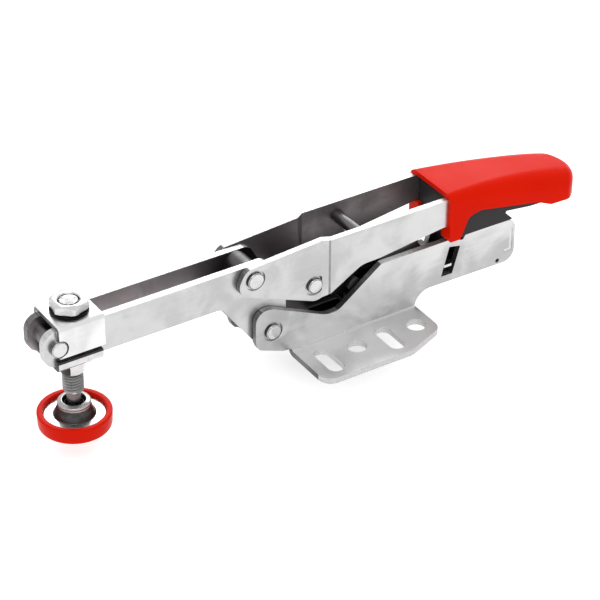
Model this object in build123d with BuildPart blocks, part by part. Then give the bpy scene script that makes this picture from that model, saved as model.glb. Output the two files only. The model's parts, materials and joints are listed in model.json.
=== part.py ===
from build123d import *
from math import asin, atan2, cos, hypot, sin, sqrt
import os

# Self-adjusting horizontal toggle clamp with an open arm, closed, in millimetres.
# X runs from the arm tip (-X) to the grip (+X) and Z is up. The origin is on the
# mounting face, midway between the four round holes.
# Everything on the two sides is mirrored about the XZ plane.

# ---- driving dimensions ----
sheet = 2.5  # base and handle sheet
arm_sheet = 3.1
spindle_d = 8.0  # M8 spindle
fit = 0.05  # radial running clearance of a pin
arm_gap = 9.2  # clear width between the arm walls
side_gap = 0.3  # arm walls to the plates outside them
flange_y = 34.5  # half the width over both flanges
flange_front, flange_back = -36.4, 20.9
mount_hole_d = 7.8
mount_hole_y = 21.2
mount_hole_x = (-13.7, 13.7)
mount_slot_w = 6.6
mount_slot_len = 16.0
mount_slot_y = 23.2
mount_slot_x = (-27.9, 0.1)
arm_pivot = (-44.9, 14.6)
handle_pivot = (-52.6, 40.2)
link_pivot = (-26.3, 28.8)
carriage_pivot = (-5.9, 20.2)
rivet_r = 3.3
rivet_ring_r = 4.2  # counterbore round a rivet head
rivet_ring_deep = 0.8
rivet_proud = 0.9
arm_tip_x = -139.9
arm_low, arm_top = 30.3, 45.3
tail_end_x = 67.9
tail_low, tail_top = 8.8, 28.0
handle_top = 48.0
jog_x = -22.3  # where the handle plates step outwards
jog_run, jog_out = 3.0, 1.8
grip_front_x, grip_end_x = 33.6, 100.6
grip_wall = 1.6
grip_top = 50.0
spindle_x = -124.9
saddle_len = 18.8
saddle_sheet = 2.0
saddle_low = 34.3
pad_r = 14.2
pad_low, pad_rim = -3.3, 3.0
ball_z = 3.6
ball_r = 3.8

# ---- derived positions across the clamp ----
arm_in = arm_gap / 2
arm_out = arm_in + arm_sheet
plate_in = arm_out + side_gap
plate_out = plate_in + sheet
rear_in = plate_in + jog_out
rear_out = plate_out + jog_out
saddle_in = arm_out + 0.1
saddle_out = saddle_in + saddle_sheet
shell_in = rear_out + 0.1  # half width of the cavity that holds the plates
grip_half = shell_in + grip_wall
spindle_r = spindle_d / 2
carriage_half = plate_in - 0.4


# where a rectangle stands on its point: by its lower left corner or its lower edge
corner = (Align.MIN, Align.MIN)
foot = (Align.CENTER, Align.MIN)


def finish(builder, label):
    """Names a finished piece and writes it."""
    builder.part.label = label
    export_step(builder.part, f"parts/{label}.step")


def mirrored(builder, label):
    """The far-side twin of a near-side piece."""
    with BuildPart() as twin:
        mirror(builder.part, about=Plane.XZ)
    finish(twin, label)


def cross_pin(centre, radius, half_length, edge, label):
    """A plain round pin across the clamp with broken edges."""
    with BuildPart() as pin:
        with BuildSketch(Plane.XZ):
            with Locations(centre):
                Circle(radius)
        extrude(amount=half_length, both=True)
        chamfer(pin.edges().filter_by(GeomType.CIRCLE), length=edge)
    finish(pin, label)


def cross_tube(centre, outer, inner, half_length, label):
    """A bush between two walls."""
    with BuildPart() as tube:
        with BuildSketch(Plane.XZ):
            with Locations(centre):
                Circle(outer)
                Circle(inner, mode=Mode.SUBTRACT)
        extrude(amount=half_length, both=True)
    finish(tube, label)


def tangent_point(start, centre, radius):
    """Where the lower tangent from start meets the circle about centre."""
    run = (centre[0] - start[0], centre[1] - start[1])
    reach = hypot(*run)
    angle = atan2(run[1], run[0]) - asin(radius / reach)
    length = sqrt(reach**2 - radius**2)
    return (start[0] + length * cos(angle), start[1] + length * sin(angle))


# ---- base: two mirrored plates, each a wall with an outward flange ----
ear_x = arm_pivot[0] - 7.6
wall_points = (
    (flange_front, 0.0),
    (flange_front, 3.6),
    (-40.4, 3.9),
    (ear_x + 1.2, 8.2),
    (ear_x, 11.5),
    (ear_x, arm_pivot[1] + 10.4),
    (arm_pivot[0] - 0.6, arm_pivot[1] + 10.4),
    (-20.9, 13.6),
    (-15.5, 13.6),
    (4.1, tail_top + 0.1),
    (35.5, tail_top + 0.1),
    (42.5, tail_top - 1.9),
    (43.6, tail_top),
    (tail_end_x, tail_top - 0.3),
    (tail_end_x, tail_low - 0.2),
    (flange_back - 0.6, tail_low + 0.4),
    (flange_back - 0.6, 0.0),
)
wall_radii = (0, 0.5, 3, 3, 3, 5, 7, 9, 7, 2, 2, 0.8, 0.8, 4, 5, 7, 0)
window_points = ((36.1, 24.9), (41.3, 23.8), (37.9, 12.1), (32.6, 12.2))
flange_points = (
    (flange_front, -plate_in),
    (flange_front, -flange_y),
    (3.1, -flange_y),
    (flange_back, -27.4),
    (flange_back, -plate_in),
)
lock_tab_low = 13.4
tab_height = 10.1
end_plate_x = tail_end_x - 2.4
end_plate = 1.2
small_hole = (tail_end_x - 8.0, 10.4)

with BuildPart() as base_near_plate:
    with BuildSketch(Plane.XZ.offset(plate_in)):
        with BuildLine():
            FilletPolyline(*wall_points, radius=wall_radii, close=True)
        make_face()
        with Locations(arm_pivot):
            Circle(rivet_r, mode=Mode.SUBTRACT)
        with BuildLine():
            Polyline(*window_points, close=True)
        make_face(mode=Mode.SUBTRACT)
        with Locations(small_hole):
            Circle(0.9, mode=Mode.SUBTRACT)
        with Locations((end_plate_x, lock_tab_low)):
            Rectangle(end_plate, tab_height, align=corner, mode=Mode.SUBTRACT)
            Rectangle(2.4, end_plate, align=(Align.MAX, Align.MIN), mode=Mode.SUBTRACT)
    extrude(amount=sheet)
    with BuildSketch(Plane.XY):
        with BuildLine():
            FilletPolyline(*flange_points, radius=(0, 5.5, 9, 5, 0), close=True)
        make_face()
        with Locations(*[(x, -mount_hole_y) for x in mount_hole_x]):
            Circle(mount_hole_d / 2, mode=Mode.SUBTRACT)
        with Locations(*[(x, -mount_slot_y) for x in mount_slot_x]):
            SlotOverall(mount_slot_len, mount_slot_w, rotation=90, mode=Mode.SUBTRACT)
    extrude(amount=sheet)
    long_edges = base_near_plate.edges().filter_by(Axis.X).filter_by(lambda e: e.length > 50)
    bend_out = long_edges.filter_by(lambda e: abs(e.center().Y + plate_in) < 0.01)
    fillet(bend_out.filter_by(lambda e: e.center().Z < 0.01), radius=3)
    bend_in = long_edges.filter_by(lambda e: abs(e.center().Y + plate_out) < 0.01)
    fillet(bend_in.filter_by(lambda e: e.center().Z < 3), radius=1)
    with BuildSketch(Plane.XZ.offset(plate_out)):
        with Locations(arm_pivot):
            Circle(rivet_ring_r)
    extrude(amount=-rivet_ring_deep, mode=Mode.SUBTRACT)
finish(base_near_plate, "base_near_plate")
mirrored(base_near_plate, "base_far_plate")

cross_pin(arm_pivot, rivet_r, plate_out + rivet_proud, 0.35, "arm_pivot_rivet")

with BuildPart() as tail_end_plate:
    with BuildSketch(Plane.YZ.offset(end_plate_x)):
        with Locations((0, 10.5)):
            Rectangle(2 * plate_in, 15.5, align=foot)
        with Locations((0, lock_tab_low)):
            Rectangle(2 * plate_out, tab_height, align=foot)
    extrude(amount=end_plate)
    with BuildSketch(Plane.XY.offset(lock_tab_low)):
        with Locations((end_plate_x, 0)):
            Rectangle(2.4, 2 * plate_out, align=(Align.MAX, Align.CENTER))
    extrude(amount=end_plate)
finish(tail_end_plate, "tail_end_plate")

# ---- arm: two mirrored walls, rivet at the tip, bushes at the pivots ----
arm_root_r = 7.65
slope_top = (-65.6, arm_low)
tip_rivet = (arm_tip_x + 5.7, 38.4)
tip_rivet_r = 2.4
arm_points = (
    (arm_tip_x, arm_top),
    (arm_tip_x, arm_low),
    slope_top,
    tangent_point(slope_top, arm_pivot, arm_root_r),
    arm_pivot,
    (arm_pivot[0] + arm_root_r, arm_pivot[1]),
    (arm_pivot[0] + arm_root_r - 0.4, 30.0),
    (handle_pivot[0] + 6.6, arm_top),
)
with BuildPart() as arm_near_wall:
    with BuildSketch(Plane.XZ.offset(arm_in)):
        with BuildLine():
            FilletPolyline(*arm_points, radius=(5.5, 5.5, 4, 0, 0, 0, 6, 4), close=True)
        make_face()
        with Locations(arm_pivot):
            Circle(arm_root_r)
            Circle(rivet_r + fit, mode=Mode.SUBTRACT)
        with Locations(handle_pivot):
            Circle(rivet_r + 0.2 + fit, mode=Mode.SUBTRACT)
        with Locations(tip_rivet):
            Circle(tip_rivet_r, mode=Mode.SUBTRACT)
    extrude(amount=arm_sheet)
finish(arm_near_wall, "arm_near_wall")
mirrored(arm_near_wall, "arm_far_wall")

tip_head_r = 3.25
tip_shoulder_r = 3.5
with BuildPart() as arm_tip_rivet:
    with BuildSketch(Plane.XZ):
        with Locations(tip_rivet):
            Circle(tip_shoulder_r)
    extrude(amount=arm_in, both=True)
    with BuildSketch(Plane.XZ):
        with Locations(tip_rivet):
            Circle(tip_rivet_r)
    extrude(amount=arm_out, both=True)
    for side in (Plane.XZ.offset(arm_out), Plane.XZ.offset(-arm_out - saddle_sheet)):
        with BuildSketch(side):
            with Locations(tip_rivet):
                Circle(tip_head_r)
        extrude(amount=saddle_sheet)
    heads = arm_tip_rivet.edges().filter_by(GeomType.CIRCLE).sort_by(Axis.Y)
    chamfer([heads[0], heads[-1]], length=0.3)
finish(arm_tip_rivet, "arm_tip_rivet")

cross_tube(arm_pivot, 5.6, rivet_r + fit, arm_in, "arm_pivot_bush")
cross_tube(handle_pivot, 5.0, rivet_r + 0.2 + fit, arm_in, "handle_pivot_bush")

# ---- handle: two mirrored joggled plates with a two-piece grip ----
front_r = 6.5
knee_r = 7.0
handle_end_x = grip_front_x + 24.5  # end of the tongues inside the grip
handle_front_x = handle_pivot[0] - 15.3
tongue_low = 40.0
end_low = 36.2
handle_points = (
    (handle_pivot[0] - 4.0, handle_pivot[1] + 5.4),
    (handle_pivot[0] - 7.2, handle_pivot[1] - 1.0),
    (handle_pivot[0] - 5.8, handle_pivot[1] - 5.4),
    (link_pivot[0] + 1.2, link_pivot[1] - 7.6),
    (-6.1, 32.3),
    (2.1, 32.5),
    (grip_front_x - 2.0, end_low),
    (grip_front_x + 1.4, end_low),
    (grip_front_x + 1.4, tongue_low),
    (handle_end_x, tongue_low),
    (handle_end_x, handle_top - 4.6),
    (grip_front_x - 0.5, handle_top),
    (jog_x + 2, handle_top),
)
with BuildPart() as handle_near_plate:
    with BuildSketch(Plane.XY):
        with BuildLine():
            Polyline(
                (handle_front_x, -plate_in),
                (jog_x, -plate_in),
                (jog_x + jog_run, -rear_in),
                (handle_end_x, -rear_in),
                (handle_end_x, -rear_out),
                (jog_x + jog_run - 0.8, -rear_out),
                (jog_x - 0.8, -plate_out),
                (handle_front_x, -plate_out),
                close=True,
            )
        make_face()
    extrude(amount=handle_top + 12)
    with BuildSketch(Plane.XZ) as side_view:
        with BuildLine():
            FilletPolyline(*handle_points, radius=(5, 5, 5, 6, 9, 12, 0, 1, 1, 1, 1, 0, 8), close=True)
        make_face()
        with Locations(handle_pivot):
            Circle(rivet_r + 0.2, mode=Mode.SUBTRACT)
        with Locations(link_pivot):
            Circle(rivet_r - 0.1, mode=Mode.SUBTRACT)
    extrude(amount=rear_out + 5, mode=Mode.INTERSECT)
    with BuildSketch(Plane.XZ.offset(plate_out)):
        with Locations(handle_pivot, link_pivot):
            Circle(rivet_ring_r + 0.1)
    extrude(amount=-rivet_ring_deep, mode=Mode.SUBTRACT)
finish(handle_near_plate, "handle_near_plate")
mirrored(handle_near_plate, "handle_far_plate")

cross_pin(handle_pivot, rivet_r + 0.2, plate_out + rivet_proud, 0.35, "handle_pivot_rivet")
cross_pin(link_pivot, rivet_r - 0.1, plate_out + rivet_proud, 0.35, "link_pivot_rivet")
cross_pin((-3.4, 42.0), 2.6, rear_in, 0.3, "handle_spacer")

grip_len = grip_end_x - grip_front_x
grip_round = 5.0  # rounding of the rear end
grip_root = 10.0  # foot of the uprights, cut off by the lower outline
shell_back = grip_front_x + 50.4  # rear of the cavity
skirt_back = grip_front_x + grip_wall
tongue_top = handle_top - 4.5
nose_x = grip_end_x - 8.1
nose_half = grip_half - 0.6
# upright sections of the grip: share of its length, fall of the roof, shoulder radius
grip_sections = ((0.0, 0.0, 4.0), (0.5, 3.7, 8.0), (1.0, 11.2, 9.0))
shell_points = (
    (grip_front_x, grip_top + 1),
    (grip_end_x, grip_top + 1),
    (grip_end_x, 29.9),
    (shell_back - 0.9, 30.6),
    (shell_back - 7.9, 33.8),
    (grip_front_x + 15.0, 39.5),
    (grip_front_x + 9.1, 38.6),
    (grip_front_x + 5.1, 29.4),
    (grip_front_x, 29.4),
)
with BuildPart() as grip_shell:
    for share, fall, shoulder in grip_sections:
        with BuildSketch(Plane.YZ.offset(grip_front_x + share * grip_len)) as upright:
            with Locations((0, grip_root)):
                Rectangle(2 * grip_half, grip_top - fall - grip_root, align=foot)
            fillet(upright.vertices().group_by(Axis.Y)[-1], radius=shoulder)
    loft()
    with BuildSketch(Plane.XY):
        with BuildLine():
            Polyline(
                (nose_x, nose_half),
                (grip_front_x, grip_half),
                (grip_front_x, -grip_half),
                (nose_x, -nose_half),
            )
            ThreePointArc((nose_x, nose_half), (grip_end_x, 0), (nose_x, -nose_half))
        make_face()
    extrude(amount=grip_top + 10, mode=Mode.INTERSECT)
    rear_edges = grip_shell.edges().filter_by(lambda e: e.center().X > nose_x - 1)
    fillet(rear_edges.filter_by(lambda e: e.center().Z > grip_root + 1), radius=grip_round)
    with BuildSketch(Plane.XZ):
        with BuildLine():
            FilletPolyline(*shell_points, radius=(0, 0, 0.8, 3, 8, 3.5, 4, 0.8, 0.8), close=True)
        make_face()
    extrude(amount=grip_half, both=True, mode=Mode.INTERSECT)
    with BuildSketch(Plane.XZ):
        with BuildLine():
            Polyline(
                (grip_front_x, end_low - 0.1),
                (grip_front_x, handle_top + 0.1),
                (handle_end_x + 0.1, tongue_top + 0.1),
                (handle_end_x + 0.1, tongue_low),
                (shell_back, end_low + 0.1),
                (shell_back, end_low - 0.1),
                close=True,
            )
        make_face()
        with Locations((skirt_back, grip_root)):
            Rectangle(shell_back - skirt_back, end_low - grip_root, align=corner)
    extrude(amount=shell_in, both=True, mode=Mode.SUBTRACT)
    with BuildSketch(Plane.XZ):
        with Locations((grip_front_x, grip_root)):
            Rectangle(grip_wall, end_low - grip_root, align=corner)
    extrude(amount=plate_in, both=True, mode=Mode.SUBTRACT)
finish(grip_shell, "grip_shell")

belly_low = 29.2
hook_x = grip_front_x + 31.6
with BuildPart() as grip_insert:
    with BuildSketch(Plane.XZ):
        with BuildLine():
            FilletPolyline(
                (skirt_back, tongue_low - 0.1),
                (skirt_back, belly_low),
                (hook_x, belly_low),
                (hook_x - 4.6, 33.9),
                (hook_x + 8.1, 32.2),
                (shell_back, 31.9),
                (shell_back, end_low),
                (handle_end_x, tongue_low - 0.1),
                radius=(0, 0.5, 0, 0.6, 0, 0, 0, 0),
                close=True,
            )
        make_face()
    extrude(amount=shell_in, both=True)
    with BuildSketch(Plane.XZ):
        with BuildLine():
            Polyline(
                (skirt_back, tongue_low - 0.1),
                (skirt_back, handle_top - 0.6),
                (handle_end_x, tongue_top),
                (handle_end_x, tongue_low - 0.1),
                close=True,
            )
        make_face()
    extrude(amount=rear_in, both=True)
finish(grip_insert, "grip_insert")

# ---- toggle link: wide boss on the handle rivet, its end pin rides on the carriage ----
link_half = arm_in - 0.2
boss_half = plate_in - side_gap
end_r = 5.5
end_pin_r = 3.0
with BuildPart() as toggle_link:
    with BuildSketch(Plane.XZ):
        with Locations(link_pivot):
            Circle(6.4)
        with Locations(carriage_pivot):
            Circle(end_r)
        make_hull()
    extrude(amount=link_half, both=True)
    with BuildSketch(Plane.XZ):
        with Locations(link_pivot):
            Circle(6.4)
    extrude(amount=boss_half, both=True)
    with BuildSketch(Plane.XZ):
        with Locations(link_pivot):
            Circle(rivet_r - 0.1 + fit)
        with Locations(carriage_pivot):
            Circle(end_pin_r)
    extrude(amount=boss_half, both=True, mode=Mode.SUBTRACT)
finish(toggle_link, "toggle_link")

cross_pin(carriage_pivot, end_pin_r, boss_half - 0.2, 0.3, "link_end_pin")

# ---- carriage: an open seat for the link pin, a cradle with a rod and a floor ----
carriage_low = 10.6
jaw_front = carriage_pivot[0] - 3.4
jaw_top = carriage_pivot[1] - end_pin_r - 0.4
cradle_front, cradle_back = 10.1, 24.9
cradle_top = 17.6
floor_top = 12.9
floor_back = 52.0
rod_r = 3.9
rod_z = 19.9
rod_end = 28.6
with BuildPart() as carriage:
    with BuildSketch(Plane.XZ):
        with BuildLine():
            FilletPolyline(
                (jaw_front, carriage_low),
                (floor_back, carriage_low),
                (floor_back, floor_top),
                (cradle_back, floor_top),
                (cradle_back, cradle_top),
                (cradle_front, cradle_top),
                (cradle_front, jaw_top),
                (jaw_front, jaw_top),
                radius=(1, 0.6, 0.6, 1, 1, 0.4, 0, 1),
                close=True,
            )
        make_face()
    extrude(amount=carriage_half, both=True)
    with BuildSketch(Plane.XZ):
        with Locations((jaw_front - 1, carriage_low + 2.6)):
            Rectangle(cradle_front - jaw_front + 1, 20, align=corner)
    extrude(amount=link_half + 0.3, both=True, mode=Mode.SUBTRACT)
    with BuildSketch(Plane.YZ.offset(cradle_front)):
        with Locations((0, rod_z)):
            Circle(rod_r)
    extrude(amount=rod_end - cradle_front)
    chamfer(carriage.edges().filter_by(GeomType.CIRCLE).sort_by(Axis.X)[-1], length=0.4)
finish(carriage, "carriage")

# ---- lock plate: a thin fork astride the rod, its ends in the slanted windows ----
lock_x, lock_z = 34.0, 15.7
lock_t = 1.2
with BuildPart() as lock_plate:
    with BuildSketch(Plane.XY.offset(lock_z)):
        with Locations((lock_x, 0)):
            Rectangle(3.6, 2 * plate_out - 0.2, align=(Align.MIN, Align.CENTER))
            Rectangle(7.0, 2 * carriage_half, align=(Align.MIN, Align.CENTER))
            Rectangle(4.2, 2 * rod_r + 1.0, align=(Align.MIN, Align.CENTER), mode=Mode.SUBTRACT)
    extrude(amount=lock_t)
finish(lock_plate, "lock_plate")

# ---- spindle mount: saddle over the arm, clamp plate under it, washer and nut ----
washer_low = arm_top + saddle_sheet
with BuildPart() as spindle_saddle:
    with BuildSketch(Plane.YZ.offset(spindle_x - saddle_len / 2)):
        with Locations((0, saddle_low)):
            Rectangle(2 * saddle_out, washer_low - saddle_low, align=foot)
            Rectangle(2 * saddle_in, arm_top - saddle_low, align=foot, mode=Mode.SUBTRACT)
    extrude(amount=saddle_len)
    shoulders = spindle_saddle.edges().filter_by(Axis.X).filter_by(lambda e: e.center().Z > arm_top + 1)
    fillet(shoulders, radius=1.8)
    with BuildSketch(Plane.XZ):
        with Locations(tip_rivet):
            Circle(tip_head_r + 0.35)
    extrude(amount=saddle_out + 1, both=True, mode=Mode.SUBTRACT)
    with BuildSketch(Plane.XY.offset(arm_top - 1)):
        with Locations((spindle_x, 0)):
            Circle(spindle_r + fit)
    extrude(amount=6, mode=Mode.SUBTRACT)
finish(spindle_saddle, "spindle_saddle")

washer_t = 1.2
washer_r = 7.3
nut_low = washer_low + washer_t
nut_h = 3.5
nut_flats = 13.0
nut_turn = 19.8  # degrees from +X to the nearest corner
with BuildPart() as spindle_washer:
    with BuildSketch(Plane.XY.offset(washer_low)):
        with Locations((spindle_x, 0)):
            Circle(washer_r)
            Circle(spindle_r + fit, mode=Mode.SUBTRACT)
    extrude(amount=washer_t)
finish(spindle_washer, "spindle_washer")

spindle_axis = Axis((spindle_x, 0, 0), (0, 0, 1))
nut_corner = nut_flats / sqrt(3) + 0.05
with BuildPart() as spindle_nut:
    with BuildSketch(Plane.XY.offset(nut_low)):
        with Locations((spindle_x, 0)):
            RegularPolygon(nut_flats / 2, 6, major_radius=False, rotation=nut_turn)
    extrude(amount=nut_h)
    with BuildSketch(Plane.XZ):
        with BuildLine():
            Polyline(
                (spindle_x + spindle_r + fit, nut_low),
                (spindle_x + nut_flats / 2 - 0.2, nut_low),
                (spindle_x + nut_corner, nut_low + 0.7),
                (spindle_x + nut_corner, nut_low + nut_h - 0.7),
                (spindle_x + nut_flats / 2 - 0.2, nut_low + nut_h),
                (spindle_x + spindle_r + 0.5, nut_low + nut_h),
                (spindle_x + spindle_r + fit, nut_low + nut_h - 0.45),
                close=True,
            )
        make_face()
    revolve(axis=spindle_axis, mode=Mode.INTERSECT)
finish(spindle_nut, "spindle_nut")

plate_t = 2.0
plate_front = spindle_x - 10.2
plate_back = spindle_x + 8.2
lip_top = 33.0
boss_low = 21.0
plate_low = arm_low - plate_t
with BuildPart() as clamp_plate:
    with BuildSketch(Plane.YZ.offset(plate_front)) as channel:
        with Locations((0, plate_low)):
            Rectangle(2 * saddle_out, lip_top - plate_low, align=foot)
        fillet(channel.vertices().group_by(Axis.Y)[0], radius=2.2)
        with Locations((0, arm_low)):
            Rectangle(2 * saddle_in, lip_top - arm_low, align=foot, mode=Mode.SUBTRACT)
    extrude(amount=plate_back - plate_front)
    with BuildSketch(Plane.XZ):
        with BuildLine():
            Polyline(
                (spindle_x, plate_low + 1),
                (spindle_x + 5.5, plate_low + 1),
                (spindle_x + 5.4, plate_low - 2.6),
                (spindle_x + 4.6, boss_low),
                (spindle_x, boss_low),
                close=True,
            )
        make_face()
    revolve(axis=spindle_axis)
    with BuildSketch(Plane.XY.offset(boss_low - 1)):
        with Locations((spindle_x, 0)):
            Circle(spindle_r + fit)
    extrude(amount=20, mode=Mode.SUBTRACT)
finish(clamp_plate, "clamp_plate")

neck_r = 2.7
thread_low = 11.2
spindle_top = nut_low + nut_h - 0.3
with BuildPart() as spindle:
    with BuildSketch(Plane.XZ):
        with BuildLine():
            Polyline(
                (spindle_x, ball_z),
                (spindle_x + neck_r, ball_z),
                (spindle_x + neck_r, thread_low - 1.3),
                (spindle_x + spindle_r, thread_low),
                (spindle_x + spindle_r, spindle_top - 0.8),
                (spindle_x + spindle_r - 0.8, spindle_top),
                (spindle_x, spindle_top),
                close=True,
            )
        make_face()
    revolve(axis=spindle_axis)
    with Locations((spindle_x, 0, ball_z)):
        Sphere(ball_r)
finish(spindle, "spindle")

# ---- swivel pad: retaining ring, metal cup and protective cap about the ball ----
ring_in, ring_out = ball_r + 0.05, ball_r + 0.9
with BuildPart() as pad_ring:
    with BuildSketch(Plane.XY.offset(ball_z + 0.9)):
        with Locations((spindle_x, 0)):
            Circle(8)
            Circle(3.4, mode=Mode.SUBTRACT)
    extrude(amount=1.9)
    with Locations((spindle_x, 0, ball_z)):
        Sphere(ring_out, mode=Mode.INTERSECT)
        Sphere(ring_in, mode=Mode.SUBTRACT)
finish(pad_ring, "pad_ring")

cap_floor = -0.9
disc_r = pad_r - 2.4
disc_top = 1.5
collar_top = 7.8
upper_half = (Align.CENTER, Align.CENTER, Align.MIN)
with BuildPart() as pad_cup:
    with BuildSketch(Plane.XZ):
        with BuildLine():
            FilletPolyline(
                (spindle_x, cap_floor),
                (spindle_x + disc_r, cap_floor),
                (spindle_x + disc_r, disc_top),
                (spindle_x + 7.8, disc_top),
                (spindle_x + 6.6, 4.6),
                (spindle_x + 6.1, collar_top - 1.4),
                (spindle_x + 4.4, collar_top),
                (spindle_x, collar_top),
                radius=(0, 0.3, 0.5, 0, 1, 1, 0.3, 0),
                close=True,
            )
        make_face()
    revolve(axis=spindle_axis)
    with BuildSketch(Plane.XY.offset(ball_z)):
        with Locations((spindle_x, 0)):
            Circle(3.9)
    extrude(amount=10, mode=Mode.SUBTRACT)
    with Locations((spindle_x, 0, ball_z)):
        Sphere(ball_r + 0.05, mode=Mode.SUBTRACT)
        Sphere(ring_out + 0.05, arc_size1=0, align=upper_half, mode=Mode.SUBTRACT)
finish(pad_cup, "pad_cup")

with BuildPart() as pad_cap:
    with BuildSketch(Plane.XZ):
        with BuildLine():
            FilletPolyline(
                (spindle_x, pad_low),
                (spindle_x + pad_r - 0.3, pad_low),
                (spindle_x + pad_r, pad_rim),
                (spindle_x + disc_r, pad_rim),
                (spindle_x + disc_r, cap_floor),
                (spindle_x, cap_floor),
                radius=(0, 1.0, 0.7, 0.6, 0, 0),
                close=True,
            )
        make_face()
    revolve(axis=spindle_axis)
finish(pad_cap, "pad_cap")
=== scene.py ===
"""Looks of the toggle clamp: dressed sheet metal, thread, grip, materials, light and camera.

Places and sizes on the clamp are in mm in the frame's own axes, and MM turns them into metres.
What stands around it, such as lamps and camera, is placed in metres.
"""

import json
import math

import bmesh
import bpy
from mathutils import Matrix, Vector


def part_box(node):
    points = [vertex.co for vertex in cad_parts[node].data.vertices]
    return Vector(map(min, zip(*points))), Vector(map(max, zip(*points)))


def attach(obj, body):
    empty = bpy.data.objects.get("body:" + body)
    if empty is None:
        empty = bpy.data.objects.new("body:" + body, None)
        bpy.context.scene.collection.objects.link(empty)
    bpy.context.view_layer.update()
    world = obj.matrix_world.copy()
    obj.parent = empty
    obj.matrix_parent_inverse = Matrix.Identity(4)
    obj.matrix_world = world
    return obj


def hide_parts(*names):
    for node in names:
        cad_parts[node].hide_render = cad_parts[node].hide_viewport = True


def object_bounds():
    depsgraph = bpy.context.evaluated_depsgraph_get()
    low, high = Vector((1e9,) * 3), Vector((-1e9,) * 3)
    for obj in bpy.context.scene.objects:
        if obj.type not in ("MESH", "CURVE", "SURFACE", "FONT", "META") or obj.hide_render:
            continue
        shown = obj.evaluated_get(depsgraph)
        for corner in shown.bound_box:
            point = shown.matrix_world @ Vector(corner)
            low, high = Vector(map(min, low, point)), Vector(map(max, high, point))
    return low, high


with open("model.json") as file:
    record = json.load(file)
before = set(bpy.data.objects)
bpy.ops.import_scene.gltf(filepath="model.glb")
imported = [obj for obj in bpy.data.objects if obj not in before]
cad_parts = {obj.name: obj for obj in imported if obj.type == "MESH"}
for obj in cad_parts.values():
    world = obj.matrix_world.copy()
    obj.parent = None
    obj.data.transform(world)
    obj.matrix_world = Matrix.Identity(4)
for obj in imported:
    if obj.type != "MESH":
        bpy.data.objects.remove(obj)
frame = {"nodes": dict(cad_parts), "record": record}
cad_box = [list(corner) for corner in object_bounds()]
MM = 0.001


# ---------------------------------------------------------------- node helpers
# noise scales, how streaks are drawn out, and depths of relief in metres
CLOUD_SCALE = 70.0
SPECK_SCALE = 2600.0
STREAK_SCALE = 900.0
DRAWN_ALONG_X = (0.12, 1.0, 1.0)
DRAWN_ALONG_Y = (1.0, 0.12, 1.0)
GRAIN_DEPTH = 0.00004
COARSE_DEPTH = 0.00005


class Graph:
    """A material and short calls for its nodes."""

    def __init__(self, name):
        self.material = bpy.data.materials.new(name)
        self.material.use_nodes = True
        self.tree = self.material.node_tree
        self.shader = self.tree.nodes["Principled BSDF"]
        self.coords = self.add("ShaderNodeTexCoord").outputs["Object"]

    def add(self, kind, **settings):
        node = self.tree.nodes.new(kind)
        for key, value in settings.items():
            setattr(node, key, value)
        return node

    def link(self, source, target):
        self.tree.links.new(source, target)

    def put(self, **values):
        """Sets the shader's own sockets, with _ for a space in their names."""
        for key, value in values.items():
            self.shader.inputs[key.replace("_", " ")].default_value = value

    def stretched(self, scale):
        """Object coordinates scaled per axis, for streaks."""
        mapping = self.add("ShaderNodeMapping")
        mapping.inputs["Scale"].default_value = scale
        self.link(self.coords, mapping.inputs["Vector"])
        return mapping.outputs["Vector"]

    def noise(self, scale, detail=2.0, rough=0.5, vector=None, warp=0.0):
        node = self.add("ShaderNodeTexNoise")
        node.inputs["Scale"].default_value = scale
        node.inputs["Detail"].default_value = detail
        node.inputs["Roughness"].default_value = rough
        node.inputs["Distortion"].default_value = warp
        self.link(vector or self.coords, node.inputs["Vector"])
        return node.outputs["Fac"]

    def clouds(self, scale):
        """Soft blotches between 0 and 1."""
        return self.remap(self.noise(scale, detail=3.0, rough=0.55, warp=0.4), 0.36, 0.68)

    def specks(self):
        """The fine grain of a plated surface."""
        return self.noise(SPECK_SCALE, detail=3.0, rough=0.6)

    def remap(self, value, low, high, to_low=0.0, to_high=1.0):
        node = self.add("ShaderNodeMapRange", interpolation_type="SMOOTHSTEP")
        self.link(value, node.inputs["Value"])
        limits = (low, high, to_low, to_high)
        for index, limit in enumerate(limits, start=1):
            node.inputs[index].default_value = limit
        return node.outputs["Result"]

    def math(self, operation, a, b):
        node = self.add("ShaderNodeMath", operation=operation)
        for socket, value in zip(node.inputs, (a, b)):
            if isinstance(value, float):
                socket.default_value = value
            else:
                self.link(value, socket)
        return node.outputs[0]

    def weighted(self, *parts):
        """The sum of values, each given with its share."""
        total = 0.0
        for value, share in parts:
            total = self.math("ADD", total, self.math("MULTIPLY", value, share))
        return total

    def mix(self, factor, a, b):
        """From colour a to colour b by the factor."""
        node = self.add("ShaderNodeMix", data_type="RGBA")
        colour_a, colour_b = [socket for socket in node.inputs if socket.type == "RGBA"]
        self.link(factor, node.inputs["Factor"])
        for socket, value in ((colour_a, a), (colour_b, b)):
            if isinstance(value, tuple):
                socket.default_value = value + (1.0,)
            else:
                self.link(value, socket)
        return next(socket for socket in node.outputs if socket.type == "RGBA")

    def bump(self, height, strength, distance):
        node = self.add("ShaderNodeBump")
        node.inputs["Strength"].default_value = strength
        node.inputs["Distance"].default_value = distance
        self.link(height, node.inputs["Height"])
        self.link(node.outputs["Normal"], self.shader.inputs["Normal"])

    def colour(self, value):
        self.link(value, self.shader.inputs["Base Color"])

    def roughness(self, value):
        self.link(value, self.shader.inputs["Roughness"])


# ---------------------------------------------------------------- materials
def grey(level, warm=0.0):
    """A grey, drawn towards red and a little towards violet by warm."""
    return (level * (1 + warm), level, level * (1 + warm / 4))


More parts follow.
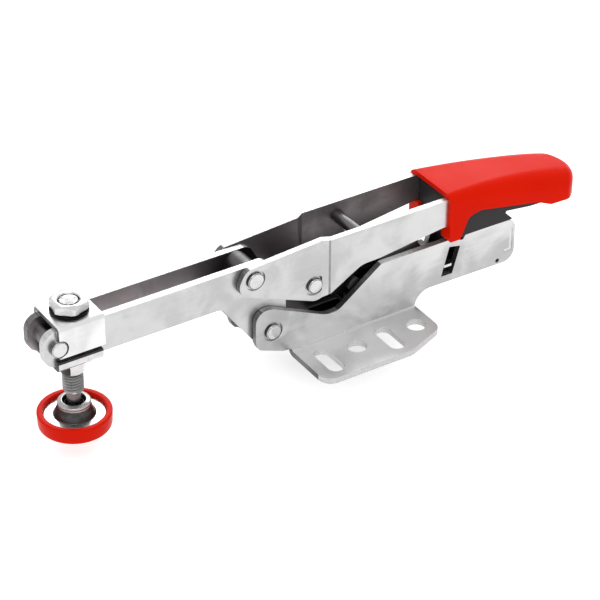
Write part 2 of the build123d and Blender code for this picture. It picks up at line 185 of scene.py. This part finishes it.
def metal(name, light, dark, rough, blotch=CLOUD_SCALE, bump=0.12, warm=0.0, cloud=0.5):
    """Plated steel between a light and a dark grey: clouds, faint rolling streaks, a fine grain."""
    g = Graph(name)
    g.put(Metallic=1.0)
    clouds = g.clouds(blotch)
    specks = g.specks()
    streaks = g.noise(STREAK_SCALE, vector=g.stretched(DRAWN_ALONG_X))
    shade = g.weighted((clouds, cloud), (streaks, 0.25), (specks, 0.3))
    g.colour(g.mix(g.remap(shade, 0.15, 0.95), grey(light, warm), grey(dark, warm)))
    dullness = g.weighted((clouds, 0.4), (streaks, 0.6))
    g.roughness(g.remap(dullness, 0.2, 0.8, rough - 0.05, rough + 0.07))
    g.bump(g.weighted((specks, 1.0), (streaks, 0.6)), bump, GRAIN_DEPTH)
    return g.material


def inner_shade_deepening(name, light, dark, deep, start, end, rough, warm):
    """Painted shade on inner steel: darker greys that darken further along X from start to end, where the
    sheets close in on it.
    """
    g = Graph(name)
    g.put(Metallic=1.0)
    clouds = g.clouds(CLOUD_SCALE)
    specks = g.specks()
    axes = g.add("ShaderNodeSeparateXYZ")
    g.link(g.coords, axes.inputs[0])
    inward = g.remap(axes.outputs["X"], start * MM, end * MM)
    open_tone = g.mix(g.weighted((clouds, 0.8), (specks, 0.2)), grey(light, warm), grey(dark, warm))
    g.colour(g.mix(inward, open_tone, grey(deep, warm)))
    g.roughness(g.remap(clouds, 0.0, 1.0, rough - 0.05, rough + 0.07))
    g.bump(specks, 0.06, GRAIN_DEPTH)
    return g.material


def sheared(name, light, dark, rough):
    """Cut edge of a stamped sheet: streaks across its thickness, along Y, over a fine grain."""
    g = Graph(name)
    g.put(Metallic=1.0)
    streaks = g.noise(1500.0, detail=3.0, rough=0.6, vector=g.stretched(DRAWN_ALONG_Y))
    specks = g.noise(3200.0, rough=0.6)
    both = g.weighted((streaks, 0.7), (specks, 0.3))
    g.colour(g.mix(g.remap(both, 0.3, 0.7), grey(light), grey(dark, 0.02)))
    g.roughness(g.remap(both, 0.3, 0.7, rough - 0.06, rough + 0.08))
    g.bump(both, 0.2, COARSE_DEPTH)
    return g.material


def plastic(name, colour, shade, rough, grain, bump, specular, sheen=0.0):
    """Moulded plastic: fine eroded grain and a slight drift of tone from colour to shade."""
    g = Graph(name)
    g.put(IOR=1.48, Specular_IOR_Level=specular, Sheen_Weight=sheen, Sheen_Roughness=0.15)
    drift = g.noise(45.0)
    fine = g.noise(grain, detail=4.0, rough=0.6)
    tone = g.weighted((drift, 0.7), (fine, 0.3))
    g.colour(g.mix(g.remap(tone, 0.3, 0.7), colour, shade))
    g.roughness(g.remap(tone, 0.3, 0.7, rough - 0.04, rough + 0.05))
    g.bump(fine, bump, COARSE_DEPTH)
    return g.material


# sheets, outside
zinc = metal("zinc_sheet", 0.60, 0.48, 0.34)
base_zinc = metal("base_zinc", 0.63, 0.43, 0.34, blotch=48.0, cloud=0.62)
# the flange's top, painted lighter than the base sheet it is bent from, as painted light on faces that look
# up
flange_painted_light = metal("flange_painted_light", 0.90, 0.80, 0.40)
pale_zinc = metal("pale_zinc", 0.82, 0.66, 0.36, bump=0.06)
# sheets, inside, in painted shade
painted_inner_shade = metal("painted_inner_shade", 0.34, 0.22, 0.45, warm=0.10, bump=0.06)
arm_inner_shade = inner_shade_deepening("arm_inner_shade", 0.46, 0.30, 0.03, start=-75.0, end=-52.0, rough=0.42, warm=0.08)
base_inner_shade = inner_shade_deepening("base_inner_shade", 0.20, 0.12, 0.06, start=-50.0, end=-10.0, rough=0.45, warm=0.08)
# lines and edges of the sheets
# a darker grey along the step in the handle plates, as painted shade in the fold
painted_fold_shade = metal("fold_shade_line", 0.30, 0.24, 0.40, blotch=200.0, bump=0.05)
# rounded edges painted lighter than the sheet, as a painted highlight
painted_edge_highlight = metal("painted_edge_highlight", 0.74, 0.66, 0.26, bump=0.05)
cut_edge = sheared("cut_edge", 0.60, 0.46, 0.40)
# painted shade on edges and faces that point forwards
painted_front_shade = sheared("painted_front_shade", 0.20, 0.12, 0.42)
# rivets, pins and the inner works
rivet = metal("rivet_face", 0.66, 0.58, 0.28, blotch=260.0, bump=0.06)
# dark steel as painted shade for pins, bushes and rivet shanks inside the channels
pin_shade = metal("pin_shade_steel", 0.16, 0.09, 0.34, warm=0.04)
# near-black steel: painted shade for what lies deep inside the housing, the channel and the saddle
gap_shade_steel = metal("shaded_steel", 0.05, 0.03, 0.45, warm=0.06, bump=0.04)
# spindle and pad
hardware = metal("zinc_hardware", 0.66, 0.56, 0.24, blotch=220.0, bump=0.05)
thread_metal = metal("thread_metal", 0.30, 0.20, 0.30, blotch=300.0, bump=0.05)
# a black washer; its black also stands for the painted shade under the nut
washer_black_and_shade = metal("washer_black_and_shade", 0.012, 0.008, 0.5, warm=0.03)
# the pad cup's collar and cone, painted darker than its disc as painted reflection and shade
collar_painted_reflection = metal("collar_painted_reflection", 0.46, 0.34, 0.26, blotch=200.0, bump=0.01)
bright = metal("bright_plate", 0.64, 0.58, 0.26, blotch=200.0, bump=0.01)
cone_painted_shade = metal("cone_shade", 0.085, 0.05, 0.30, blotch=200.0, bump=0.01)
# plastics
dark_ring = plastic("ring_plastic", (0.008, 0.008, 0.008), (0.006, 0.006, 0.006),
                    rough=0.4, grain=3000.0, bump=0.1, specular=0.3)
red = plastic("grip_red", (0.92, 0.014, 0.001), (0.87, 0.012, 0.001),
              rough=0.34, grain=2600.0, bump=0.05, specular=0.045, sheen=0.45)
cap_red = plastic("cap_red", (0.86, 0.013, 0.001), (0.79, 0.011, 0.001),
                  rough=0.36, grain=2400.0, bump=0.05, specular=0.07, sheen=0.45)
soft_dark = plastic("grip_dark", (0.036, 0.034, 0.035), (0.028, 0.026, 0.027),
                    rough=0.52, grain=2200.0, bump=0.2, specular=0.2)


# ---------------------------------------------------------------- mesh helpers
# in metres: vertices closer than this are one, and heights closer than this are level
WELD_DISTANCE = 2e-6
LEVEL_WITHIN = 1e-7
FLAT_ANGLE = math.radians(0.6)
BEVEL_ANGLE = math.radians(35)
SHARP_ANGLE = math.radians(40)

# what a face of a sheet is: the place of its material in the sheet's list of looks
FACE, CUT, ROUNDED, INNER_SHADE, FRONT_SHADE, FLANGE_LIGHT, FOLD_SHADE = range(7)


def mesh_object(name, bm, materials, body, smooth):
    """Finishes a bmesh as a piece that rides on a body, shaded smooth below smooth degrees."""
    mesh = bpy.data.meshes.new(name)
    bm.to_mesh(mesh)
    bm.free()
    piece = bpy.data.objects.new(name, mesh)
    bpy.context.scene.collection.objects.link(piece)
    for material in materials:
        mesh.materials.append(material)
    if smooth:
        mesh.polygons.foreach_set("use_smooth", [True] * len(mesh.polygons))
        mesh.set_sharp_from_angle(angle=math.radians(smooth))
    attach(piece, body)
    return piece


def body_of(node):
    for body, members in frame["record"]["behaviour"]["bodies"].items():
        if node in members:
            return body
    raise KeyError(node)


def slot_of(node):
    for row in frame["record"]["subparts"]:
        if row["node"] == node:
            return row["material_slot"]
    raise KeyError(node)


def cleaned(node, cuts):
    """The node's mesh with shared vertices and whole flat faces, cut at each (axis, place)."""
    bm = bmesh.new()
    bm.from_mesh(frame["nodes"][node].data)
    bmesh.ops.remove_doubles(bm, verts=bm.verts, dist=WELD_DISTANCE)
    bmesh.ops.dissolve_limit(
        bm,
        angle_limit=FLAT_ANGLE,
        use_dissolve_boundaries=False,
        verts=bm.verts,
        edges=bm.edges,
        delimit=set(),
    )
    for axis, place in cuts:
        across = Vector([float(axis == name) for name in "xyz"])
        everything = bm.verts[:] + bm.edges[:] + bm.faces[:]
        bmesh.ops.bisect_plane(bm, geom=everything, plane_co=across * place * MM, plane_no=across)
    bmesh.ops.recalc_face_normals(bm, faces=bm.faces)
    return bm


def break_edges(piece, width, segments):
    """Rounds the piece's edges by width."""
    bevel = piece.modifiers.new("edges", "BEVEL")
    bevel.width = width * MM
    bevel.segments = segments
    bevel.limit_method = "ANGLE"
    bevel.angle_limit = BEVEL_ANGLE
    return bevel


def dress(node, materials, width, segments=2, look=None, cuts=(), moved=None):
    """A copy of a CAD node with broken edges.

    look says which material a face takes, and moved where a point of the copy goes.
    """
    bm = cleaned(node, cuts)
    if moved:
        for vertex in bm.verts:
            vertex.co = moved(vertex.co / MM) * MM
    if look:
        for face in bm.faces:
            face.material_index = look(face.calc_center_median() / MM, face.normal)
    piece = mesh_object("look_" + node, bm, materials, body_of(node), smooth=0)
    bevel = break_edges(piece, width, segments)
    if len(materials) > ROUNDED:
        bevel.material = ROUNDED
    piece.data.polygons.foreach_set("use_smooth", [True] * len(piece.data.polygons))
    piece.data.set_sharp_from_angle(angle=SHARP_ANGLE)
    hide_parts(node)


# ---------------------------------------------------------------- looks of the sheets
# each list is in the order of FACE, CUT, ROUNDED and so on, as far as its faces need
base_looks = [base_zinc, cut_edge, painted_edge_highlight, base_inner_shade, painted_front_shade, flange_painted_light]
handle_looks = [zinc, cut_edge, painted_edge_highlight, painted_inner_shade, painted_front_shade, flange_painted_light, painted_fold_shade]
near_arm_looks = [zinc, cut_edge, painted_edge_highlight, arm_inner_shade]
# the far arm wall's rounded edges take painted shade as well
far_arm_looks = [zinc, cut_edge, painted_front_shade, arm_inner_shade, painted_front_shade]
saddle_looks = [pale_zinc, pale_zinc, painted_edge_highlight, gap_shade_steel, painted_front_shade]
tail_looks = [zinc, zinc, painted_edge_highlight]

# how far a face's normal has to lean to count as facing that way
SIDEWAYS = 0.6
FORWARDS = 0.35
STRAIGHT_AHEAD = 0.6
UPWARDS = 0.9
DOWNWARDS = 0.3

# the far arm wall's edges take painted shade behind the first of these places and before the second
HANDLE_SHADE_X = -66.6
TIP_SHADE_X = -128.0
# the line of painted shade where the handle plates step outwards
FOLD_X = -20.6
FOLD_WIDTH = 0.7
# the base's bends lie below this height and within this half width
BEND_TOP_Z = 3.2
BEND_HALF = 15.0
# the inside of the saddle
SADDLE_INNER_HALF = 7.9
SADDLE_INNER_TOP_Z = 45.4


def wall_face(point, normal):
    """Which look a face of an upright sheet takes, from where it points; inner faces and edges that face
    forwards take painted shade.
    """
    if abs(normal.y) > SIDEWAYS:
        return INNER_SHADE if normal.y * point.y < 0 else FACE
    return FRONT_SHADE if normal.x < -FORWARDS else CUT


def handle_face(point, normal):
    """As wall_face, with a thin line of painted shade where the plate steps outwards."""
    look = wall_face(point, normal)
    return FOLD_SHADE if look == FACE and abs(point.x - FOLD_X) < FOLD_WIDTH / 2 else look


def near_arm_face(point, normal):
    """The near arm wall's edges keep the cut-edge tone all round, without the painted shade on edges that
    face forwards.
    """
    look = wall_face(point, normal)
    return CUT if look == FRONT_SHADE else look


def far_arm_face(point, normal):
    """The far arm wall's edges take painted shade at its tip and beside the handle."""
    look = wall_face(point, normal)
    shaded = point.x > HANDLE_SHADE_X or point.x < TIP_SHADE_X
    return FRONT_SHADE if look == CUT and shaded else look


def base_face(point, normal):
    """As wall_face, with painted shade inside and under the bend, and painted light on the upward faces of
    the flat flange below it.
    """
    if point.z > BEND_TOP_Z:
        return wall_face(point, normal)
    if abs(point.y) < BEND_HALF and (normal.y * point.y < 0 or normal.z < -DOWNWARDS):
        return INNER_SHADE
    return FLANGE_LIGHT if normal.z > UPWARDS else CUT


def saddle_face(point, normal):
    """The saddle takes painted shade inside and on its front edges."""
    if abs(point.y) < SADDLE_INNER_HALF and point.z < SADDLE_INNER_TOP_Z:
        return INNER_SHADE
    return FRONT_SHADE if normal.x < -STRAIGHT_AHEAD else FACE


# ---------------------------------------------------------------- looks of rivets and channel
# a rivet's rounded edges are SHADED too, because that is in ROUNDED's place
# the dark look here is painted shade, as is SHADED
BRIGHT, DARK_SHADE, SHADED = range(3)
rivet_looks = [rivet, pin_shade, painted_front_shade]
channel_looks = [hardware, gap_shade_steel]

# the rivets' shanks lie within this half width, and normals of a head's shaded side lean this far
SHANK_HALF = 7.6
HEAD_FORWARDS = 0.3
HEAD_SIDEWAYS = 0.5
# the inside of the clamp plate's channel, and where the shade on its lips begins
CHANNEL_HALF = 6.0
CHANNEL_FLOOR_Z = 28.4
LIP_SHADE_Z = 32.1
# the lock plate's end free of painted shade begins here
TAB_Y = -9.0


def clamp_plate_face(point, normal):
    """The channel takes painted shade inside, along the top of its lips and at its front."""
    inside = abs(point.y) < CHANNEL_HALF and normal.z > -DOWNWARDS and point.z > CHANNEL_FLOOR_Z
    return DARK_SHADE if inside or normal.x < -STRAIGHT_AHEAD or point.z > LIP_SHADE_Z else BRIGHT


def rivet_face(point, normal):
    """Bright heads with painted shade on their forward side, on a shank in painted shade."""
    if abs(point.y) < SHANK_HALF:
        return DARK_SHADE
    return SHADED if normal.x < -HEAD_FORWARDS and abs(normal.y) < HEAD_SIDEWAYS else BRIGHT


def tab_face(point, normal):
    """The lock plate takes painted shade, except its near end where it stands in the window."""
    return BRIGHT if point.y < TAB_Y else DARK_SHADE


# ---------------------------------------------------------------- the grip's rear end
grip_end, grip_half, grip_roof = (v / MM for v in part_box("grip_shell")[1])
NOSE_LENGTH = 18.0
NOSE_STEPS = 6
CORNER_PULL = 2.6
NOSE_DROP = 0.8
DROP_FROM_Z = 34.0


def grip_form(point):
    """The grip with fuller rounding at its rear corners."""
    along = max(0.0, (point.x - (grip_end - NOSE_LENGTH)) / NOSE_LENGTH)
    side = min(1.0, abs(point.y) / grip_half)
    ease = along * along
    pull = CORNER_PULL * ease * side * side
    drop = NOSE_DROP * ease * max(0.0, (point.z - DROP_FROM_Z) / (grip_roof - DROP_FROM_Z))
    return Vector((point.x - pull, point.y, point.z - drop))


# ---------------------------------------------------------------- dressed copies
fold_cuts = [("x", FOLD_X - FOLD_WIDTH / 2), ("x", FOLD_X + FOLD_WIDTH / 2)]
shank_cuts = [("y", -SHANK_HALF), ("y", SHANK_HALF)]
nose_cuts = [("x", grip_end - NOSE_LENGTH * k / NOSE_STEPS) for k in range(1, NOSE_STEPS + 1)]

for side in ("near", "far"):
    dress(f"base_{side}_plate", base_looks, 0.3, look=base_face)
    dress(f"handle_{side}_plate", handle_looks, 0.3, look=handle_face, cuts=fold_cuts)
dress("arm_near_wall", near_arm_looks, 0.45, segments=3, look=near_arm_face)
dress("arm_far_wall", far_arm_looks, 0.45, segments=3, look=far_arm_face)
dress("tail_end_plate", tail_looks, 0.2)
dress("spindle_saddle", saddle_looks, 0.3, look=saddle_face)
dress("clamp_plate", channel_looks, 0.25, look=clamp_plate_face, cuts=[("z", LIP_SHADE_Z)])
for name in ("arm_pivot_rivet", "handle_pivot_rivet", "link_pivot_rivet", "arm_tip_rivet"):
    dress(name, rivet_looks, 0.15, look=rivet_face, cuts=shank_cuts)
# the bushes and the spacer take painted shade
for name in ("arm_pivot_bush", "handle_pivot_bush", "handle_spacer"):
    dress(name, [pin_shade], 0.15)
# the link, its pin and the carriage inside the housing take painted shade
for name in ("toggle_link", "link_end_pin", "carriage"):
    dress(name, [gap_shade_steel], 0.3)
dress("lock_plate", channel_looks, 0.12, look=tab_face, cuts=[("y", TAB_Y)])
dress("spindle_washer", [washer_black_and_shade], 0.15)
dress("spindle_nut", [hardware], 0.18)
dress("pad_ring", [dark_ring], 0.1)
dress("grip_shell", [red], 0.4, segments=3, cuts=nose_cuts, moved=grip_form)
dress("grip_insert", [soft_dark], 0.4, segments=3)

# a dark strip of painted shade, riding with the carriage
STRIP_FRONT_X = -18.0
STRIP_REAR_X = 14.0
STRIP_LOW_Z = 4.2
STRIP_HIGH_Z = 11.0
STRIP_THICKNESS = 1.2
STRIP_SIDE_PLAY = 0.4


def shade_strip():
    """A dark strip that rides with the carriage, turned up at its rear, which closes the base below its dip
    with painted shade.
    """
    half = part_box("carriage")[1][1] - STRIP_SIDE_PLAY * MM
    outline = (
        (STRIP_FRONT_X, STRIP_LOW_Z),
        (STRIP_REAR_X, STRIP_LOW_Z),
        (STRIP_REAR_X, STRIP_HIGH_Z),
        (STRIP_REAR_X - STRIP_THICKNESS, STRIP_HIGH_Z),
        (STRIP_REAR_X - STRIP_THICKNESS, STRIP_LOW_Z + STRIP_THICKNESS),
        (STRIP_FRONT_X, STRIP_LOW_Z + STRIP_THICKNESS),
    )
    bm = bmesh.new()
    near_side = bm.faces.new([bm.verts.new((x * MM, -half, z * MM)) for x, z in outline])
    grown = bmesh.ops.extrude_face_region(bm, geom=[near_side])["geom"]
    far_corners = [v for v in grown if isinstance(v, bmesh.types.BMVert)]
    bmesh.ops.translate(bm, vec=(0, 2 * half, 0), verts=far_corners)
    bmesh.ops.recalc_face_normals(bm, faces=bm.faces)
    slot, body = slot_of("carriage"), body_of("carriage")
    strip = mesh_object("look_shade_strip", bm, [gap_shade_steel], body, smooth=0)
    break_edges(strip, 0.2, 2)


shade_strip()


# ---------------------------------------------------------------- turned pieces
spindle_low, spindle_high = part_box("spindle")
axis_x = (spindle_low[0] + spindle_high[0]) / 2 / MM
thread_r = (spindle_high[0] - spindle_low[0]) / 2 / MM
pad_low, pad_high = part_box("pad_cap")
cup_low, cup_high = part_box("pad_cup")
pad_r = (pad_high[0] - pad_low[0]) / 2 / MM
disc_r = (cup_high[0] - cup_low[0]) / 2 / MM
rim_z, cap_z, collar_z, cup_z = (v[2] / MM for v in (pad_high, pad_low, cup_high, cup_low))


def about_axis(radius, angle, z):
    """A point about the spindle's axis, in metres."""
    return ((axis_x + radius * math.cos(angle)) * MM, radius * math.sin(angle) * MM, z * MM)


def lathe(node, profile, looks, steps=128, smooth=32.0):
    """A turned copy of a CAD node. profile holds (radius, z, look)."""
    bm = bmesh.new()
    turns = [2 * math.pi * k / steps for k in range(steps)]
    rings = []
    for radius, z, _ in profile:
        angles = turns if radius else [0.0]
        rings.append([bm.verts.new(about_axis(radius, angle, z)) for angle in angles])
    for lower, upper, (_, _, look) in zip(rings, rings[1:], profile):
        for k in range(steps):
            n = (k + 1) % steps
            corners = [lower[k % len(lower)], lower[n % len(lower)],
                       upper[n % len(upper)], upper[k % len(upper)]]
            face = bm.faces.new(list(dict.fromkeys(corners)))
            face.material_index = look
    bmesh.ops.recalc_face_normals(bm, faces=bm.faces)
    piece = mesh_object("look_" + node, bm, looks, body_of(node), smooth)
    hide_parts(node)


def rounded(corners, steps=4):
    """A profile of (radius, z, rounding, look) with its corners turned into short curves."""
    out = []
    for index, (radius, z, rounding, look) in enumerate(corners):
        if not rounding:
            out.append((radius, z, look))
            continue
        here = Vector((radius, z))
        back = Vector(corners[index - 1][:2]) - here
        ahead = Vector(corners[index + 1][:2]) - here
        start = here + back.normalized() * rounding
        end = here + ahead.normalized() * rounding
        for k in range(steps + 1):
            t = k / steps
            point = start * (1 - t) ** 2 + here * 2 * t * (1 - t) + end * t ** 2
            out.append((point.x, point.y, look))
    return out


# the cup's cone, throat and socket take painted shade, and its collar a darker grey as painted reflection
LIGHT, SHADE, COLLAR_REFLECTION = range(3)
CAP_DRAFT = 0.3
DISC_TOP_Z = 1.5
CONE_FOOT_R = 7.8
CONE_TOP_R = 6.7
CONE_TOP_Z = 4.4
COLLAR_R = 6.3
COLLAR_HEIGHT = 1.6
COLLAR_SHOULDER = 0.6
MOUTH_R = 4.5
THROAT_R = 4.3
THROAT_DEPTH = 0.8
SOCKET_R = 3.9
SOCKET_RISE = 1.6
SOCKET_DEPTH = 3.85
SOCKET_SEAT_R = 3.2
SOCKET_SEAT_DEPTH = 2.1
BALL_R = 3.8
BALL_Z = 3.6

lathe("pad_cap", rounded((
    (0, cap_z, 0, LIGHT),
    (pad_r - CAP_DRAFT, cap_z, 1.1, LIGHT),
    (pad_r, rim_z, 0.8, LIGHT),
    (disc_r, rim_z, 0.5, LIGHT),
    (disc_r, cup_z, 0, LIGHT),
    (0, cup_z, 0, LIGHT),
)), [cap_red])

lathe("pad_cup", rounded((
    (0, cup_z, 0, LIGHT),
    (disc_r, cup_z, 0.2, LIGHT),
    (disc_r, DISC_TOP_Z, 0.5, LIGHT),
    (CONE_FOOT_R, DISC_TOP_Z, 0.3, SHADE),
    (CONE_TOP_R, CONE_TOP_Z, 0.5, SHADE),
    (COLLAR_R, collar_z - COLLAR_HEIGHT, 0.4, COLLAR_REFLECTION),
    (COLLAR_R, collar_z - COLLAR_SHOULDER, 0.5, COLLAR_REFLECTION),
    (MOUTH_R, collar_z, 0.3, COLLAR_REFLECTION),
    (THROAT_R, collar_z - THROAT_DEPTH, 0, SHADE),
    (SOCKET_R, BALL_Z + SOCKET_RISE, 0, SHADE),
    (SOCKET_R, BALL_Z, 0, SHADE),
    (SOCKET_SEAT_R, BALL_Z - SOCKET_SEAT_DEPTH, 0, SHADE),
    (0, BALL_Z - SOCKET_DEPTH, 0, SHADE),
)), [bright, cone_painted_shade, collar_painted_reflection], smooth=38.0)

NECK_R = 2.7
PITCH = 1.25
THREAD_DEPTH = 0.68
THREAD_FOOT_Z = 11.2
RUN_OUT = 1.3
TOP_CHAMFER = 0.35
# share of the pitch, and of the depth below the crest, round one thread
TOOTH = ((0.0, 0.0), (0.12, 0.0), (0.5, 1.0), (0.62, 1.0))


def make_shank():
    """The spindle's neck and ball."""
    ball_angles = [math.radians(45 - 15 * k) for k in range(9)]
    profile = [(NECK_R, THREAD_FOOT_Z, LIGHT), (NECK_R, BALL_Z + NECK_R, LIGHT)]
    profile += [(BALL_R * math.cos(t), BALL_Z + BALL_R * math.sin(t), LIGHT) for t in ball_angles]
    profile.append((0, BALL_Z - BALL_R, LIGHT))
    lathe("spindle", profile, [thread_metal], steps=64)


def make_thread(steps=40):
    """A real helix of M8 thread from the spindle's neck to its chamfered top."""
    top = spindle_high[2] / MM
    count = int((top - THREAD_FOOT_Z) / PITCH)
    rows = [((turn + share) * PITCH, drop) for turn in range(-1, count + 2) for share, drop in TOOTH]
    bm = bmesh.new()
    grid = []
    for height, drop in rows:
        ring = []
        for k in range(steps + 1):
            z = THREAD_FOOT_Z + height + PITCH * k / steps
            held = min(max(z, THREAD_FOOT_Z), top)
            fade = min(1.0, max(0.0, (held - THREAD_FOOT_Z) / RUN_OUT))
            crest = min(thread_r, thread_r - TOP_CHAMFER + max(top - held, 0))
            radius = min(crest, thread_r - THREAD_DEPTH * drop)
            radius = NECK_R + (radius - NECK_R) * fade
            ring.append(bm.verts.new(about_axis(radius, 2 * math.pi * k / steps, held)))
        grid.append(ring)
    for lower, upper in zip(grid, grid[1:]):
        for k in range(steps):
            bm.faces.new((lower[k], lower[k + 1], upper[k + 1], upper[k]))
    bmesh.ops.remove_doubles(bm, verts=bm.verts, dist=WELD_DISTANCE)
    centre = bm.verts.new(about_axis(0, 0, top))
    rim = [v for v in bm.verts if v is not centre and abs(v.co.z - top * MM) < LEVEL_WITHIN]
    rim.sort(key=lambda v: math.atan2(v.co.y, v.co.x - axis_x * MM))
    for a, b in zip(rim, rim[1:] + rim[:1]):
        bm.faces.new((a, b, centre))
    bmesh.ops.recalc_face_normals(bm, faces=bm.faces)
    slot, body = slot_of("spindle"), body_of("spindle")
    thread = mesh_object("look_spindle_thread", bm, [thread_metal], body, smooth=28.0)
    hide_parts("spindle")


make_thread()
make_shank()


# ---------------------------------------------------------------- light, floor, camera
SOFT_LIGHT = 0.60
WHITE = (1.0, 1.0, 1.0, 1.0)
FLOOR_SIZE = 6.0
FLOOR_GLOW = 0.58
# how far below its place at rest the lowered and tilted pad comes, in mm
PAD_REACH = 10.3
LAMP_AIM = Vector((-0.03, 0.0, 0.02))

# the camera, as fitted to the photograph
CAMERA_TURN = math.radians(-32.72)
CAMERA_RISE = math.radians(33.75)
CAMERA_ROLL = math.radians(0.304)
CAMERA_AIM = Vector((-0.02619, 0.0, 0.01628))
CAMERA_DISTANCE = 1.0001
CAMERA_LENS = 156.50


def light_path_mix(tree, camera_side, other_side):
    """Shows camera_side to camera, glossy and transmission rays, other_side to the rest."""
    path = tree.nodes.new("ShaderNodeLightPath")
    seen = path.outputs["Is Camera Ray"]
    for ray in ("Is Glossy Ray", "Is Transmission Ray"):
        either = tree.nodes.new("ShaderNodeMath")
        either.operation = "MAXIMUM"
        tree.links.new(seen, either.inputs[0])
        tree.links.new(path.outputs[ray], either.inputs[1])
        seen = either.outputs[0]
    mix = tree.nodes.new("ShaderNodeMixShader")
    tree.links.new(seen, mix.inputs[0])
    tree.links.new(other_side, mix.inputs[1])
    tree.links.new(camera_side, mix.inputs[2])
    return mix.outputs[0]


def make_world():
    """Soft light on the clamp, before a white that the camera sees."""
    world = bpy.data.worlds.new("studio")
    world.use_nodes = True
    bpy.context.scene.world = world
    tree = world.node_tree
    soft = tree.nodes["Background"]
    soft.inputs["Color"].default_value = WHITE
    soft.inputs["Strength"].default_value = SOFT_LIGHT
    white = tree.nodes.new("ShaderNodeBackground")
    white.inputs["Color"].default_value = WHITE
    white.inputs["Strength"].default_value = 1.0
    shown = light_path_mix(tree, white.outputs[0], soft.outputs[0])
    tree.links.new(shown, tree.nodes["World Output"].inputs["Surface"])


def make_floor():
    """A white floor below the pad's lowest place. Its glow is seen, also in the metal, but lights nothing."""
    bm = bmesh.new()
    bmesh.ops.create_grid(bm, x_segments=1, y_segments=1, size=FLOOR_SIZE)
    mesh = bpy.data.meshes.new("floor")
    bm.to_mesh(mesh)
    bm.free()
    floor = bpy.data.objects.new("floor", mesh)
    bpy.context.scene.collection.objects.link(floor)
    floor.location.z = cad_box[0][2] - PAD_REACH * MM
    g = Graph("floor_white")
    g.put(Base_Color=(0.9, 0.9, 0.9, 1), Roughness=0.9, Specular_IOR_Level=0.0)
    glow = g.add("ShaderNodeEmission")
    glow.inputs["Strength"].default_value = FLOOR_GLOW
    both = g.add("ShaderNodeAddShader")
    g.link(g.shader.outputs[0], both.inputs[0])
    g.link(glow.outputs[0], both.inputs[1])
    shown = light_path_mix(g.tree, both.outputs[0], g.shader.outputs[0])
    g.link(shown, g.tree.nodes["Material Output"].inputs["Surface"])
    mesh.materials.append(g.material)


def area_light(name, place, size, power):
    """A lamp of size in metres and power in watts that looks at the clamp."""
    data = bpy.data.lights.new(name, "AREA")
    data.shape = "RECTANGLE"
    data.size, data.size_y = size
    data.energy = power
    lamp = bpy.data.objects.new(name, data)
    bpy.context.scene.collection.objects.link(lamp)
    lamp.location = place
    lamp.rotation_mode = "QUATERNION"
    lamp.rotation_quaternion = (LAMP_AIM - Vector(place)).to_track_quat("-Z", "Y")


def make_camera():
    """Looks at the clamp from CAMERA_TURN and CAMERA_RISE, leaning by CAMERA_ROLL."""
    level = math.cos(CAMERA_RISE)
    back = Vector((math.sin(CAMERA_TURN) * level, -math.cos(CAMERA_TURN) * level, math.sin(CAMERA_RISE)))
    right = Vector((math.cos(CAMERA_TURN), math.sin(CAMERA_TURN), 0))
    up = back.cross(right)
    tilted_right = right * math.cos(CAMERA_ROLL) + up * math.sin(CAMERA_ROLL)
    tilted_up = up * math.cos(CAMERA_ROLL) - right * math.sin(CAMERA_ROLL)
    data = bpy.data.cameras.new("camera")
    data.sensor_width = 36.0
    data.lens = CAMERA_LENS
    data.clip_start = 0.05
    data.clip_end = 30.0
    camera = bpy.data.objects.new("camera", data)
    bpy.context.scene.collection.objects.link(camera)
    basis = Matrix((tilted_right, tilted_up, back)).transposed().to_4x4()
    camera.matrix_world = Matrix.Translation(CAMERA_AIM + back * CAMERA_DISTANCE) @ basis
    bpy.context.scene.camera = camera


make_world()
make_floor()
area_light("key", place=(-0.55, -0.75, 1.15), size=(0.9, 0.7), power=4.0)
area_light("back", place=(0.71, 1.12, 0.80), size=(1.1, 0.75), power=8.5)
make_camera()
bpy.context.scene.view_settings.view_transform = "Standard"
